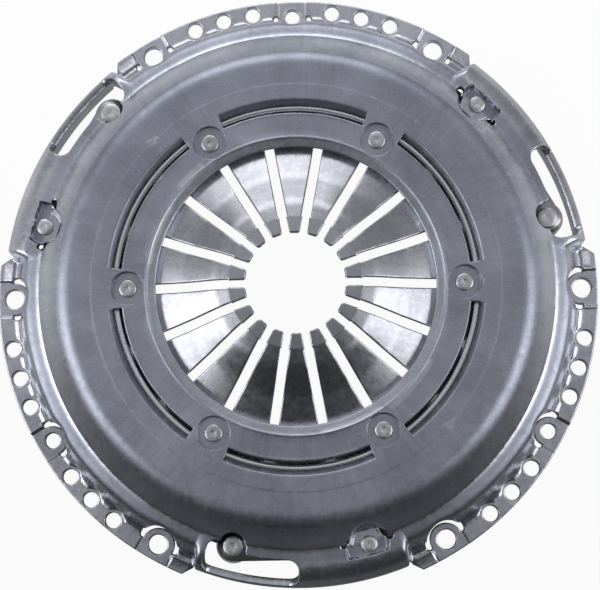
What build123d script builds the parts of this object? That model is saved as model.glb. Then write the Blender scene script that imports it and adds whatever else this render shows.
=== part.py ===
"""Clutch cover assembly (clutch pressure plate) for a 240 mm single-plate dry clutch.

A pressed steel cover carries a slotted diaphragm spring between two wire fulcrum rings on six
stepped pins, and three packs of leaf straps hold a cast iron pressure plate under it.
Millimetres. Origin: centre of the flange's mounting face. +Z points from the flywheel to the
gearbox, along the crankshaft's axis. Angles are in degrees, anticlockwise seen from the gearbox.
"""
import os
from math import cos, degrees, hypot, isclose, radians, sin, tan

from build123d import *

os.makedirs("parts", exist_ok=True)

# ---------------------------------------------------------------- diaphragm spring and its fulcrum
fulcrum_radius = 82.5          # circle of the two wire rings that the spring rocks between
wire_radius = 2.4
wire_side_count = 8            # the round wire is drawn with this many sides
spring_thickness = 2.6
spring_cone = 12.0             # cone angle of the released spring
spring_rim_overhang = 3.0      # spring outside the pressure plate's ridge
finger_count = 18
finger_slot_width = 4.3
tip_slot_width = 3.7
finger_bend_inset = 1.9        # where the fingers bend up, inside the cover's opening
tip_radius = 22.7
tip_length = 7.1
tip_height = 49.0
tip_slope_drop = 0.6
keyhole_radius = 3.6           # round outer ends of the finger slots
keyhole_inset = 4.3            # inside the pins' circle
pin_count = 6
pin_shank_radius = 3.7
shank_play = 0.1               # between a pin's shank and the fulcrum rings
pin_keyhole_clearance = 1.5
pin_head_radius = 8.2
pin_head_height = 2.4
pin_spigot_radius = 2.9
pin_rivet_radius = 4.2
pin_rivet_height = 1.2
pocket_radius = 7.8
pocket_depth = 2.0
pocket_margin = 0.5            # flat between a pocket and the lip
slot_inner_gap = 0.7           # arc slots past the wire on their inner side
slot_outer_inset = 1.3         # and short of it on their outer side
slot_roll = 2.1                # rolled outer edge of an arc slot
slot_half_angle = 23.5

# ---------------------------------------------------------------- cover pressing
sheet = 4.0                    # thickness of the cover's steel
top_height = 39.5              # outer face of the flat top
ledge_height = 25.5            # outer face of the ledge round the dome
lip_width = 4.6                # rounded inner edge of the top
lip_drop = 1.3
dome_radius = 104.5            # where the flat top turns down
dome_bend = 7.0
dome_slope_width = 14.0
crease_bend = 1.5
ledge_width = 8.0
shoulder_bend = 6.0
wall_spread = 5.0              # from the shoulder out to the wall's foot
foot_bend = 1.8
skirt_overhang = 5.9           # skirts between the flange segments, outside the wall's foot
skirt_draft = 1.5              # how much narrower the skirt is at the ledge's height
skirt_bend = 11.0

# ---------------------------------------------------------------- flange segments
segment_count = 3
segment_angle = 90.0           # centre of the first flange segment
segment_half_angle = 38.2
flange_margin = 7.4            # flange outside the bolt circle
end_chamfer_angle = 1.6
end_chamfer_depth = 5.6
pad_rise = 1.0                 # how far the flange stands off between its bolting pads
bolt_circle_offset = 2.5       # outside the wall's foot
bolt_angle = 30.0              # bolt holes either side of a segment's centre
bolt_hole_radius = 4.5         # clearance for M8
bolt_pad_radius = 7.7
dowel_hole_radius = 3.55
dowel_pad_radius = 6.9
pad_gap = 1.5                  # slit round the inner end of each pad
pad_arch_height = 9.5          # top of the arch over each pad in the wall's foot
balance_circle_offset = 2.6    # outside the bolt circle
balance_hole_radius = 3.6
balance_hole_depth = 9.0       # clears the wall's foot
balance_angles = (8.0, 14.0, 20.0)

# ---------------------------------------------------------------- pressure plate
friction_face_height = 1.0     # above the flange's mounting face, clutch released and off the car
travel = 5.5
plate_inner_radius = 74.0
ridge_inset = 1.5              # fulcrum ridge inside the dome's edge
ridge_half_width = 3.0
ridge_crest_half_width = 1.0
ridge_crest_height = 3.0       # steep top part of the ridge
ridge_foot_width = 4.5
spring_gap = 0.3
running_gap = 0.5              # kept free over the plate's whole travel
plate_edge_chamfer = 1.0

# ---------------------------------------------------------------- leaf straps and their rivets
strap_circle_offset = 2.5      # circle through the straps' rivets, outside the dome's foot
plate_rivet_angle = 15.1
cover_rivet_angle = 44.8
leaf_count = 3
leaf_thickness = 0.7
leaf_width = 14.0
strap_rise = 0.6               # cover end above plate end, released
leaf_clamped_length = 9.0      # flat stretch from each rivet
rivet_shank_radius = 3.0
rivet_hole_play = 0.3          # round the plate's rivets, in the straps
plate_rivet_head_radius = 4.9
plate_rivet_head_height = 3.6
cover_rivet_head_radius = 3.9
cover_rivet_head_height = 2.0
rivet_tail_height = 1.8
rivet_relief_gap = 0.4         # round a plate rivet's tail, in its counterbore
strap_pad_drop = 4.5           # strap pads below the ledge
strap_pad_head_gap = 1.4       # between a cover rivet's head and the edges of its pad
strap_pad_wall = 3.0
strap_pad_ahead = 11.5         # from the cover rivet towards the plate rivet
strap_pad_behind = 8.0
relief_width = 3.2             # slanted openings at the ends of a strap pad
relief_length = 8.6
relief_slant = 45.0
relief_inset_behind = 3.2      # their middles inside the straps' circle
relief_inset_ahead = 1.1
lug_radius = 8.0
lug_bottom_height = 5.0

# ---------------------------------------------------------------- windows over the plate's lugs
window_inset = 2.7             # inside the shoulder
window_band = 4.9              # skirt left outside a window
window_end_angle = 29.4
window_notch_angle = 18.4
window_corner = 1.8
rivet_window_clearance = 1.3

# ---------------------------------------------------------------- circles that follow
crease_radius = dome_radius + dome_slope_width
shoulder_radius = crease_radius + ledge_width
foot_radius = shoulder_radius + wall_spread
skirt_radius = foot_radius + skirt_overhang
bolt_circle_radius = foot_radius + bolt_circle_offset
flange_radius = bolt_circle_radius + flange_margin
balance_circle_radius = bolt_circle_radius + balance_circle_offset
pin_circle_radius = fulcrum_radius - wire_radius - shank_play - pin_shank_radius
inner_radius = pin_circle_radius - pocket_radius - pocket_margin - lip_width
slot_inner_radius = fulcrum_radius - wire_radius - slot_inner_gap
slot_outer_radius = fulcrum_radius + wire_radius - slot_outer_inset
keyhole_circle_radius = pin_circle_radius - keyhole_inset
finger_bend_radius = inner_radius - finger_bend_inset
tip_bend_radius = tip_radius + tip_length
ridge_radius = dome_radius - ridge_inset
spring_radius = ridge_radius + spring_rim_overhang
strap_radius = crease_radius + strap_circle_offset
plate_radius = shoulder_radius - sheet - running_gap
window_inner_radius = shoulder_radius - window_inset
window_outer_radius = skirt_radius - window_band
strap_pad_inner_radius = strap_radius - cover_rivet_head_radius - strap_pad_head_gap
strap_pad_outer_radius = strap_radius + cover_rivet_head_radius + strap_pad_head_gap

# ---------------------------------------------------------------- heights and angles that follow
flange_height = sheet + pad_rise
ledge_underside = ledge_height - sheet
top_underside = top_height - sheet
pocket_floor = top_height - pocket_depth
upper_ring_height = top_underside - wire_radius
spring_top_height = upper_ring_height - wire_radius / cos(radians(spring_cone))
lower_ring_height = spring_top_height - (spring_thickness + wire_radius) / cos(radians(spring_cone))
pin_head_top = lower_ring_height - wire_radius
strap_pad_height = ledge_height - strap_pad_drop
strap_pad_underside = strap_pad_height - sheet
strap_thickness = leaf_count * leaf_thickness
strap_spread = radians(cover_rivet_angle - plate_rivet_angle)
strap_length = 2 * strap_radius * sin(strap_spread / 2)
strap_channel_radius = strap_radius * cos(strap_spread / 2) - leaf_width / 2 - running_gap
cover_strap_bottom = strap_pad_underside - strap_thickness
lug_height = cover_strap_bottom - strap_rise
strap_top = lug_height + strap_thickness
plate_top_height = pin_head_top - pin_head_height - travel - running_gap
strap_channel_floor = cover_strap_bottom - travel - running_gap
rivet_relief_floor = strap_channel_floor - rivet_tail_height
segment_pitch = 360 / segment_count
pin_pitch = 360 / pin_count
skirt_half_angle = segment_pitch / 2 - segment_half_angle
first_skirt_angle = segment_angle - segment_pitch / 2
strap_end_angle = degrees(leaf_width / 2 / strap_radius)
channel_end_angle = degrees((strap_pad_behind + 2 * running_gap) / strap_pad_inner_radius)
end_wall_angle = degrees(sheet / skirt_radius)


def spring_surface(radius):
    """Height of the released spring's upper face outside its finger bend."""
    return spring_top_height + (fulcrum_radius - radius) * tan(radians(spring_cone))


ridge_height = spring_surface(ridge_radius) - spring_thickness / cos(radians(spring_cone)) - spring_gap


def on_circle(radius, angle):
    """Point of the XY plane at a radius and an angle."""
    return (radius * cos(radians(angle)), radius * sin(radians(angle)))


def ring_sector(inner, outer, start, end):
    """Flat piece of a ring between two radii and two angles."""
    with BuildSketch(mode=Mode.PRIVATE) as sector:
        with BuildLine():
            outer_arc = CenterArc((0, 0), outer, start, end - start)
            inner_arc = CenterArc((0, 0), inner, start, end - start)
            Line(outer_arc @ 0, inner_arc @ 0)
            Line(outer_arc @ 1, inner_arc @ 1)
        make_face()
    return sector.sketch


def bent_path(points, bends):
    """Corners of a path whose bends are made of short flats: the first and last point stay as they are."""
    with BuildLine() as path:
        FilletPolyline(*points, radius=bends)
    corners = [points[0]]
    for arc in path.edges().filter_by(GeomType.CIRCLE):
        turn = arc.length / arc.radius
        reach = arc.radius / cos(turn / 4)
        corners.append(arc @ 0)
        for share in (0.25, 0.75):
            middle = arc.position_at(share)
            corners.append(arc.arc_center + (middle - arc.arc_center) * (reach / arc.radius))
        corners.append(arc @ 1)
    corners.append(points[-1])
    return corners


def sheet_section(points, bends):
    """Section of the pressing: its outer face's path, thickened inwards by the sheet."""
    with BuildSketch(Plane.XZ) as section:
        with BuildLine():
            Polyline(*bent_path(points, bends))
            offset(amount=sheet, side=Side.RIGHT, kind=Kind.INTERSECTION)
        make_face()
    return section.sketch


# ================================================================ cover
skirt_top_radius = skirt_radius - skirt_draft
lip_radius = inner_radius + lip_width
ledge_middle = (crease_radius + shoulder_radius - shoulder_bend) / 2
dome_path = [
    (lip_radius, top_height),
    (dome_radius, top_height),
    (crease_radius, ledge_height),
    (ledge_middle, ledge_height),
]
flange_path = [
    (ledge_middle - sheet / 2, ledge_height),
    (shoulder_radius, ledge_height),
    (foot_radius, flange_height),
    (flange_radius, flange_height),
]
skirt_path = [
    (ledge_middle - sheet / 2, ledge_height),
    (skirt_top_radius, ledge_height),
    (skirt_radius, pad_rise),
]

with BuildSketch(Plane.XZ) as lip_section:
    with BuildLine():
        Polyline(
            (inner_radius, top_height - lip_drop),
            (lip_radius, top_height),
            (lip_radius, top_underside),
            (inner_radius, top_underside),
            close=True,
        )
    make_face()

with BuildSketch(Plane.XZ) as end_wall_section:
    with BuildLine():
        outside = FilletPolyline(*skirt_path, radius=skirt_bend)
        Polyline(
            outside @ 1,
            (foot_radius - sheet, pad_rise),
            (shoulder_radius - sheet, ledge_underside),
            outside @ 0,
        )
    make_face()

with BuildSketch() as flange_ends:
    for side in (-1, 1):
        corner_angle = side * (segment_half_angle - end_chamfer_angle)
        with BuildLine():
            Polyline(
                on_circle(flange_radius, corner_angle),
                on_circle(flange_radius - end_chamfer_depth, side * segment_half_angle),
                on_circle(flange_radius, side * (segment_half_angle + end_chamfer_angle)),
                on_circle(flange_radius + sheet, corner_angle),
                close=True,
            )
        make_face()

hole_angles = (-bolt_angle, 0, bolt_angle)
pad_radii = (bolt_pad_radius, dowel_pad_radius, bolt_pad_radius)

with BuildSketch() as pad_plan:
    for angle, pad_radius in zip(hole_angles, pad_radii):
        with Locations(Location(on_circle(bolt_circle_radius, angle), angle)):
            Circle(pad_radius)
            Rectangle(2 * pad_radius, 2 * pad_radius, align=(Align.MIN, Align.CENTER))
    add(ring_sector(inner_radius, flange_radius, -segment_half_angle, segment_half_angle),
        mode=Mode.INTERSECT)
    add(flange_ends.sketch, mode=Mode.SUBTRACT)

with BuildSketch() as pad_slits:
    for angle, pad_radius in zip(hole_angles, pad_radii):
        with Locations(Location(on_circle(bolt_circle_radius, angle), angle)):
            Circle(pad_radius + pad_gap)
            Rectangle(2 * flange_radius, 2 * flange_radius, align=(Align.MIN, Align.CENTER),
                      mode=Mode.SUBTRACT)

with BuildSketch() as flange_holes:
    for angle, hole_radius in zip(hole_angles, (bolt_hole_radius, dowel_hole_radius, bolt_hole_radius)):
        with Locations(on_circle(bolt_circle_radius, angle)):
            Circle(hole_radius)
    for angle in balance_angles:
        with Locations(on_circle(balance_circle_radius, angle), on_circle(balance_circle_radius, -angle)):
            Circle(balance_hole_radius)

with BuildSketch() as windows:
    window_start = first_skirt_angle - skirt_half_angle + end_wall_angle
    with PolarLocations(0, segment_count):
        add(ring_sector(window_inner_radius, window_outer_radius, window_start, window_end_angle))
        add(ring_sector(crease_radius + crease_bend, window_outer_radius,
                        window_start, window_notch_angle))
    fillet(windows.vertices(), window_corner)
    with PolarLocations(strap_radius, segment_count, start_angle=plate_rivet_angle):
        Circle(plate_rivet_head_radius + rivet_window_clearance)

with BuildSketch(Plane.XY.offset(strap_pad_underside)) as strap_pad_plan:
    with PolarLocations(0, segment_count, start_angle=cover_rivet_angle):
        with Locations((strap_pad_inner_radius - strap_pad_wall, strap_pad_behind)):
            Rectangle(strap_pad_outer_radius - strap_pad_inner_radius + strap_pad_wall,
                      strap_pad_ahead + strap_pad_behind, align=(Align.MIN, Align.MAX))

with BuildSketch(Plane.XY.offset(strap_pad_height)) as strap_pad_recess:
    with PolarLocations(0, segment_count, start_angle=cover_rivet_angle):
        with Locations((strap_pad_inner_radius, strap_pad_behind)):
            Rectangle(strap_pad_outer_radius - strap_pad_inner_radius,
                      strap_pad_ahead + strap_pad_behind, align=(Align.MIN, Align.MAX))
    fillet(strap_pad_recess.vertices().group_by(lambda v: hypot(v.X, v.Y))[0], crease_bend)

with BuildSketch() as reliefs:
    with PolarLocations(0, segment_count, start_angle=cover_rivet_angle):
        with Locations(Location((strap_radius - relief_inset_behind, strap_pad_behind), relief_slant)):
            SlotOverall(relief_length, relief_width)
        with Locations(Location((strap_radius - relief_inset_ahead, -strap_pad_ahead), -relief_slant)):
            SlotOverall(relief_length, relief_width)

with BuildSketch() as strap_rivet_holes:
    with PolarLocations(strap_radius, segment_count, start_angle=cover_rivet_angle):
        Circle(rivet_shank_radius)

with BuildSketch() as fulcrum_slots:
    with PolarLocations(0, pin_count, start_angle=pin_pitch / 2):
        add(ring_sector(slot_inner_radius, slot_outer_radius, -slot_half_angle, slot_half_angle))

with BuildPart() as clutch_cover:
    revolve(sheet_section(dome_path, [dome_bend, crease_bend]), axis=Axis.Z)
    revolve(lip_section.sketch, axis=Axis.Z)
    skirt = sheet_section(skirt_path, [skirt_bend])
    flange = sheet_section(flange_path, [shoulder_bend, foot_bend])
    for copy in range(segment_count):
        turn = copy * segment_pitch
        flange_start = turn + segment_angle - segment_half_angle
        revolve(flange.rotate(Axis.Z, flange_start), axis=Axis.Z,
                revolution_arc=2 * segment_half_angle)
        skirt_start = turn + first_skirt_angle - skirt_half_angle
        revolve(skirt.rotate(Axis.Z, skirt_start), axis=Axis.Z,
                revolution_arc=2 * skirt_half_angle)
        for wall_start in (skirt_start, skirt_start + 2 * skirt_half_angle - end_wall_angle):
            revolve(end_wall_section.sketch.rotate(Axis.Z, wall_start), axis=Axis.Z,
                    revolution_arc=end_wall_angle)
        # bolting pads: tongues lanced free of the wall and set down to the flywheel's face
        flange_turn = turn + segment_angle
        extrude(flange_ends.sketch.rotate(Axis.Z, flange_turn), amount=ledge_height, mode=Mode.SUBTRACT)
        extrude(pad_slits.sketch.rotate(Axis.Z, flange_turn), amount=pad_arch_height, mode=Mode.SUBTRACT)
        extrude(pad_plan.sketch.rotate(Axis.Z, flange_turn), amount=pad_arch_height, mode=Mode.SUBTRACT)
        extrude(pad_plan.sketch.rotate(Axis.Z, flange_turn), amount=sheet)
        extrude(flange_holes.sketch.rotate(Axis.Z, flange_turn), amount=balance_hole_depth,
                mode=Mode.SUBTRACT)
    extrude(windows.sketch, amount=top_height, mode=Mode.SUBTRACT)
    # strap pads, pressed down into the ledge with a slanted opening at each end
    extrude(strap_pad_plan.sketch, amount=ledge_height - strap_pad_underside)
    extrude(strap_pad_recess.sketch, amount=top_height - strap_pad_height, mode=Mode.SUBTRACT)
    extrude(reliefs.sketch, amount=top_height, mode=Mode.SUBTRACT)
    extrude(strap_rivet_holes.sketch, amount=top_height, mode=Mode.SUBTRACT)
    # arc slots over the upper fulcrum ring, and the pins' pockets between them
    extrude(fulcrum_slots.sketch, amount=top_height, mode=Mode.SUBTRACT)
    slot_edges = clutch_cover.edges(Select.LAST).filter_by(GeomType.CIRCLE).filter_by(
        lambda edge: isclose(edge.radius, slot_outer_radius)
    )
    chamfer(slot_edges.group_by(Axis.Z)[-1], slot_roll)
    with Locations(Plane.XY.offset(top_height)):
        with PolarLocations(pin_circle_radius, pin_count):
            CounterBoreHole(pin_spigot_radius, pocket_radius, pocket_depth, depth=sheet)

# ================================================================ fulcrum rings and pins
with BuildPart() as upper_fulcrum_ring:
    with BuildSketch(Plane.XZ):
        with Locations((fulcrum_radius, upper_ring_height)):
            RegularPolygon(wire_radius, wire_side_count)
    revolve(axis=Axis.Z)

with BuildPart() as lower_fulcrum_ring:
    with BuildSketch(Plane.XZ):
        with Locations((fulcrum_radius, lower_ring_height)):
            RegularPolygon(wire_radius, wire_side_count)
    revolve(axis=Axis.Z)

with BuildPart() as fulcrum_pin:
    with BuildSketch(Plane.XZ):
        with BuildLine():
            Polyline(
                (0, pin_head_top - pin_head_height),
                (pin_head_radius, pin_head_top - pin_head_height),
                (pin_head_radius, pin_head_top),
                (pin_shank_radius, pin_head_top),
                (pin_shank_radius, top_underside),
                (pin_spigot_radius, top_underside),
                (pin_spigot_radius, pocket_floor),
                (pin_rivet_radius, pocket_floor),
                (pin_spigot_radius, pocket_floor + pin_rivet_height),
                (0, pocket_floor + pin_rivet_height),
                close=True,
            )
        make_face()
    revolve(axis=Axis.Z)

with BuildPart() as fulcrum_pins:
    with PolarLocations(pin_circle_radius, pin_count):
        add(fulcrum_pin.part)

# ================================================================ diaphragm spring
with BuildPart() as diaphragm_spring:
    with BuildSketch(Plane.XZ):
        with BuildLine():
            finger_root = spring_surface(finger_bend_radius)
            Polyline(
                (spring_radius, spring_surface(spring_radius)),
                (finger_bend_radius, finger_root),
                (tip_bend_radius, tip_height - tip_slope_drop),
                (tip_radius, tip_height),
            )
            offset(amount=spring_thickness, side=Side.LEFT, kind=Kind.INTERSECTION)
        make_face()
    revolve(axis=Axis.Z)
    with BuildSketch():
        with PolarLocations(0, finger_count):
            with Locations((tip_bend_radius, 0)):
                Rectangle(keyhole_circle_radius - tip_bend_radius, finger_slot_width,
                          align=(Align.MIN, Align.CENTER))
            Rectangle(tip_bend_radius + tip_slot_width, tip_slot_width, align=(Align.MIN, Align.CENTER))
        with PolarLocations(keyhole_circle_radius, finger_count):
            Circle(keyhole_radius)
        with PolarLocations(pin_circle_radius, pin_count):
            Circle(pin_shank_radius + pin_keyhole_clearance)
    extrude(amount=tip_height + spring_thickness, mode=Mode.SUBTRACT)

# ================================================================ pressure plate
with BuildPart() as pressure_plate:
    with BuildSketch(Plane.XZ):
        with BuildLine():
            crest = ridge_height - ridge_crest_height
            Polyline(
                (plate_inner_radius, friction_face_height),
                (plate_radius, friction_face_height),
                (plate_radius, plate_top_height),
                (ridge_radius + ridge_half_width + ridge_foot_width, plate_top_height),
                (ridge_radius + ridge_half_width, crest),
                (ridge_radius + ridge_crest_half_width, ridge_height),
                (ridge_radius - ridge_crest_half_width, ridge_height),
                (ridge_radius - ridge_half_width, crest),
                (ridge_radius - ridge_half_width - ridge_foot_width, plate_top_height),
                (plate_inner_radius, plate_top_height),
                close=True,
            )
        make_face()
    revolve(axis=Axis.Z)
    plate_edges = pressure_plate.edges().filter_by(GeomType.CIRCLE).group_by(lambda edge: edge.radius)
    chamfer(plate_edges[0] + plate_edges[-1], plate_edge_chamfer)
    with BuildSketch(Plane.XY.offset(strap_channel_floor)):
        with PolarLocations(0, segment_count):
            add(ring_sector(strap_channel_radius, strap_radius + lug_radius,
                            plate_rivet_angle - strap_end_angle, cover_rivet_angle + channel_end_angle))
    extrude(amount=ridge_height - strap_channel_floor, mode=Mode.SUBTRACT)
    with BuildSketch(Plane.XY.offset(rivet_relief_floor)):
        with PolarLocations(strap_radius, segment_count, start_angle=cover_rivet_angle):
            Circle(cover_rivet_head_radius + running_gap)
    extrude(amount=ridge_height - rivet_relief_floor, mode=Mode.SUBTRACT)
    with BuildSketch(Plane.XY.offset(lug_bottom_height)):
        with PolarLocations(strap_radius, segment_count, start_angle=plate_rivet_angle):
            Circle(lug_radius)
            Rectangle(lug_radius + running_gap, 2 * lug_radius, align=(Align.MAX, Align.CENTER))
    extrude(amount=lug_height - lug_bottom_height)
    with BuildSketch(Plane.XY.offset(friction_face_height)):
        with PolarLocations(strap_radius, segment_count, start_angle=plate_rivet_angle):
            Circle(plate_rivet_head_radius)
    extrude(amount=lug_bottom_height - friction_face_height, mode=Mode.SUBTRACT)
    with BuildSketch(Plane.XY.offset(lug_bottom_height)):
        with PolarLocations(strap_radius, segment_count, start_angle=plate_rivet_angle):
            Circle(rivet_shank_radius)
    extrude(amount=lug_height - lug_bottom_height, mode=Mode.SUBTRACT)

# ================================================================ leaf straps
with BuildPart() as strap_leaf:
    with BuildSketch(Plane.XZ):
        with BuildLine():
            faces_of_leaf = [
                Polyline(
                    (-leaf_width / 2, height),
                    (leaf_clamped_length, height),
                    (strap_length - leaf_clamped_length, height + strap_rise),
                    (strap_length + leaf_width / 2, height + strap_rise),
                )
                for height in (0, leaf_thickness)
            ]
            Line(faces_of_leaf[0] @ 0, faces_of_leaf[1] @ 0)
            Line(faces_of_leaf[0] @ 1, faces_of_leaf[1] @ 1)
        make_face()
    extrude(amount=leaf_width / 2, both=True)
    with BuildSketch():
        with Locations((strap_length / 2, 0)):
            SlotCenterToCenter(strap_length, leaf_width)
        Circle(rivet_shank_radius + rivet_hole_play, mode=Mode.SUBTRACT)
        with Locations((strap_length, 0)):
            Circle(rivet_shank_radius, mode=Mode.SUBTRACT)
    extrude(amount=strap_rise + leaf_thickness, mode=Mode.INTERSECT)

# ================================================================ strap rivets
with BuildPart() as plate_rivet:
    with BuildSketch(Plane.XZ):
        rivet_foot = lug_bottom_height - rivet_tail_height
        tail_radius = plate_rivet_head_radius - rivet_relief_gap
        with BuildLine():
            Polyline(
                (0, rivet_foot),
                (tail_radius, rivet_foot),
                (tail_radius, lug_bottom_height),
                (rivet_shank_radius, lug_bottom_height),
                (rivet_shank_radius, strap_top),
                (plate_rivet_head_radius, strap_top),
                (plate_rivet_head_radius, strap_top + plate_rivet_head_height),
                (0, strap_top + plate_rivet_head_height),
                close=True,
            )
        make_face()
    revolve(axis=Axis.Z)

with BuildPart() as cover_rivet:
    with BuildSketch(Plane.XZ):
        rivet_foot = cover_strap_bottom - rivet_tail_height
        with BuildLine():
            Polyline(
                (0, rivet_foot),
                (cover_rivet_head_radius, rivet_foot),
                (cover_rivet_head_radius, cover_strap_bottom),
                (rivet_shank_radius, cover_strap_bottom),
                (rivet_shank_radius, strap_pad_height),
                (cover_rivet_head_radius, strap_pad_height),
                (cover_rivet_head_radius, strap_pad_height + cover_rivet_head_height),
                (0, strap_pad_height + cover_rivet_head_height),
                close=True,
            )
        make_face()
    revolve(axis=Axis.Z)

# ================================================================ every piece in its place
pieces = {
    "clutch_cover": clutch_cover.part,
    "upper_fulcrum_ring": upper_fulcrum_ring.part,
    "lower_fulcrum_ring": lower_fulcrum_ring.part,
    "diaphragm_spring": diaphragm_spring.part,
    "fulcrum_pins": fulcrum_pins.part,
    "pressure_plate": pressure_plate.part,
}
strap_lean = degrees(strap_spread) / 2 + 90
for number in range(segment_count):
    turn = number * segment_pitch
    plate_end = on_circle(strap_radius, plate_rivet_angle + turn)
    cover_end = on_circle(strap_radius, cover_rivet_angle + turn)
    for layer in range(leaf_count):
        place = Location(
            (*plate_end, lug_height + layer * leaf_thickness),
            (0, 0, plate_rivet_angle + turn + strap_lean),
        )
        pieces[f"strap_{number + 1}_leaf_{layer + 1}"] = strap_leaf.part.moved(place)
    pieces[f"strap_{number + 1}_plate_rivet"] = plate_rivet.part.moved(Location((*plate_end, 0)))
    pieces[f"strap_{number + 1}_cover_rivet"] = cover_rivet.part.moved(Location((*cover_end, 0)))

for name, piece in pieces.items():
    piece.label = name
    export_step(piece, f"parts/{name}.step")
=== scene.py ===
"""Clutch pressure plate lying on its flange, seen from the gearbox side. Meshes are sized in millimetres."""

import math

import bpy
import numpy as np
from mathutils import Matrix, Vector


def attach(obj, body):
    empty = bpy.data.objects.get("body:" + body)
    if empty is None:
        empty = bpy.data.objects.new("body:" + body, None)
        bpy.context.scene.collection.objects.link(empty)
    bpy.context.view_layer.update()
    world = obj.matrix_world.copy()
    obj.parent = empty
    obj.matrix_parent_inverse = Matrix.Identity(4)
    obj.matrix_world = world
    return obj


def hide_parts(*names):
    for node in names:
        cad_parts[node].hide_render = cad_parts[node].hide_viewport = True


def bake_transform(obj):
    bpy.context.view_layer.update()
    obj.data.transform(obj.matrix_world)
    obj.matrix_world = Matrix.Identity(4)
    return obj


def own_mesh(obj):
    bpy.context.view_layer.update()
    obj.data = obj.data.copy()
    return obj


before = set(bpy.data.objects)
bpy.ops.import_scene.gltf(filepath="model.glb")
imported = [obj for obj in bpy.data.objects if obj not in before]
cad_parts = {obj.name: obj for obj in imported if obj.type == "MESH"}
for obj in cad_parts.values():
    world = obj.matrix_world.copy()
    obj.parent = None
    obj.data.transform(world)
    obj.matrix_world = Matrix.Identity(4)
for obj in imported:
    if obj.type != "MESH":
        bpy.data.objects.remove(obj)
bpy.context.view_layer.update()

# ---------------------------------------------------------------- cover
# One deep-drawn pressing of 4 mm steel: flat top, sloped dome, ledge, three flange segments, three skirts.
# Holes, slots and windows are pierced, so their rims are slightly rolled over.
# The pins' pockets and the strap pads are set down, and the bolting tongues are lanced and stepped.


def bent(corners, bends, straights, turns):
    """Points and normals down a path whose corners are rounded, with the given steps on each stretch."""
    corners = [np.array(c, float) for c in corners]
    points, normals = [], []
    start = corners[0]
    for i in range(1, len(corners)):
        along = (corners[i] - corners[i - 1]) / np.linalg.norm(corners[i] - corners[i - 1])
        left = np.array([-along[1], along[0]])
        last = i == len(corners) - 1
        if last:
            end = corners[i]
        else:
            after = (corners[i + 1] - corners[i]) / np.linalg.norm(corners[i + 1] - corners[i])
            turn = math.atan2(along[0] * after[1] - along[1] * after[0], along @ after)
            reach = bends[i - 1] * math.tan(abs(turn) / 2)
            end = corners[i] - along * reach
        for k in range(straights[i - 1]):
            points.append(start + (end - start) * k / straights[i - 1])
            normals.append(left)
        if not last:
            side = math.copysign(1, turn)
            centre = end + left * side * bends[i - 1]
            for k in range(turns[i - 1]):
                a = turn * k / turns[i - 1]
                normal = np.array([left[0] * math.cos(a) - left[1] * math.sin(a),
                                   left[0] * math.sin(a) + left[1] * math.cos(a)])
                points.append(centre - normal * side * bends[i - 1])
                normals.append(normal)
            start = corners[i] + after * reach
    points.append(corners[-1])
    normals.append(left)
    return np.array(points), np.array(normals)


def cut_edges(points, faces, share):
    """Puts a point on each edge where share(i, j) is between 0 and 1, and divides the faces there."""
    pairs = np.sort(np.stack([faces, np.roll(faces, -1, axis=1)], axis=2).reshape(-1, 2), axis=1)
    code, where = np.unique(pairs[:, 0].astype(np.int64) * len(points) + pairs[:, 1], return_inverse=True)
    first, second = code // len(points), code % len(points)
    where = where.reshape(-1, 3)
    t = share(first, second)
    cut = np.isfinite(t)
    new = np.full(len(code), -1)
    new[cut] = len(points) + np.arange(cut.sum())
    added = points[first[cut]] * (1 - t[cut, None]) + points[second[cut]] * t[cut, None]
    made = new[where]
    count = (made >= 0).sum(axis=1)
    out = [faces[count == 0]]
    for turn in range(3):
        a, b, c = (np.roll(faces, -turn, axis=1)[:, k] for k in range(3))
        p, q, r = (np.roll(made, -turn, axis=1)[:, k] for k in range(3))
        one = (count == 1) & (p >= 0)
        out += [np.stack([a, p, c], 1)[one], np.stack([p, b, c], 1)[one]]
        two = (count == 2) & (r < 0)
        out += [np.stack([p, b, q], 1)[two], np.stack([a, p, q], 1)[two], np.stack([a, q, c], 1)[two]]
        if turn == 0:
            all3 = count == 3
            out += [np.stack([a, p, r], 1)[all3], np.stack([p, b, q], 1)[all3],
                    np.stack([r, q, c], 1)[all3], np.stack([p, q, r], 1)[all3]]
    return np.vstack([points, added]), np.vstack(out)


def refine(points, faces, field, longest, near):
    """Halves the edges longer than longest that lie within near times their length of the field's zero."""
    for _ in range(4):
        depth = abs(field(points))

        def halves(i, j):
            length = np.linalg.norm(points[i, :3] - points[j, :3], axis=1)
            close = np.minimum(depth[i], depth[j]) < near * length
            return np.where((length > longest) & close, 0.5, np.nan)
        points, faces = cut_edges(points, faces, halves)
    return points, faces


def split_at(points, faces, field, level):
    """Divides the faces along the line where the field has that level."""
    depth = field(points) - level

    def crossing(i, j):
        with np.errstate(divide="ignore", invalid="ignore"):
            t = depth[i] / (depth[i] - depth[j])
        return np.where((depth[i] * depth[j] < 0) & (t > 0.02) & (t < 0.98), t, np.nan)
    return cut_edges(points, faces, crossing)


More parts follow.
